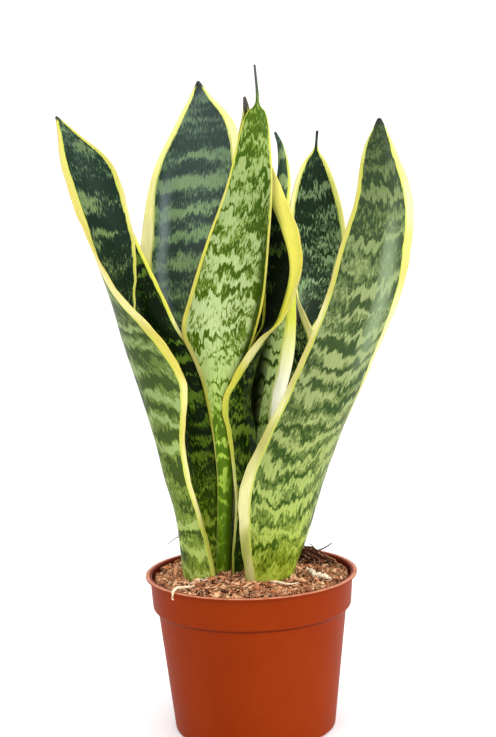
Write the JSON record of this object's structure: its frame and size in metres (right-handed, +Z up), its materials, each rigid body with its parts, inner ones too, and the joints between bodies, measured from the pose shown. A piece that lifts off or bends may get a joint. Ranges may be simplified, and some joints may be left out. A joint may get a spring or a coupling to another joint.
{
  "type": "potted snake plant",
  "caption": "Potted snake plant: stiff upright sword-shaped leaves with yellow margins, growing from soil in a round plastic grower's pot.",
  "frame": {"origin": "centre of the flat pad in the middle of the pot's underside, on the surface that the pot stands on", "axes": "+Z up through the middle of the pot, +Y from the front of the plant to its back, +X to the right seen from the front"},
  "size_m": [0.1907, 0.12, 0.373],
  "materials": {
    "pot_plastic": "satin",
    "soil": "matte",
    "leaf": "satin",
    "root": "matte",
    "fibre": "matte"
  },
  "bodies": {
    "root": {"pot": "pot_plastic", "soil": "soil", "rhizome": "root", "left_leaf": "leaf", "inner_left_leaf": "leaf", "back_left_leaf": "leaf", "centre_leaf": "leaf", "inner_right_leaf": "leaf", "inner_back_leaf": "leaf", "back_right_leaf": "leaf", "right_leaf": "leaf", "root_over_lip": "root", "root_right": "root", "root_front": "root", "fibre_back": "fibre", "fibre_back_low": "fibre", "fibre_left": "fibre"}
  },
  "joints": []
}
